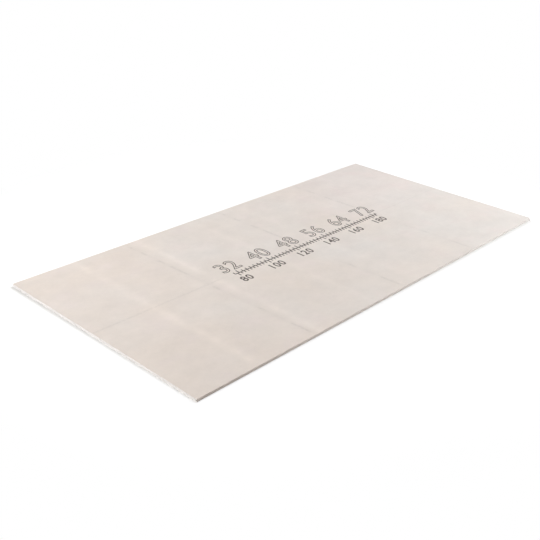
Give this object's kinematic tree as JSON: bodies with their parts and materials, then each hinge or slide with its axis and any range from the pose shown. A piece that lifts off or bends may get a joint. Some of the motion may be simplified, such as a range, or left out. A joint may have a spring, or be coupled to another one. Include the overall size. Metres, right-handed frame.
{
  "type": "gypsum roof board",
  "caption": "Flat rectangular gypsum sheet for roofing, with square-cut edges, laid over a deck or insulation and screwed down under the roof covering.",
  "frame": {"origin": "middle of the underside, which lies on the deck", "axes": "+X along the board's length, +Y across its width, +Z out of the face that is laid upwards"},
  "size_m": [2.4384, 1.2192, 0.0127],
  "materials": {
    "gypsum": "matte"
  },
  "bodies": {
    "root": {"roof_board": "gypsum"}
  },
  "joints": []
}
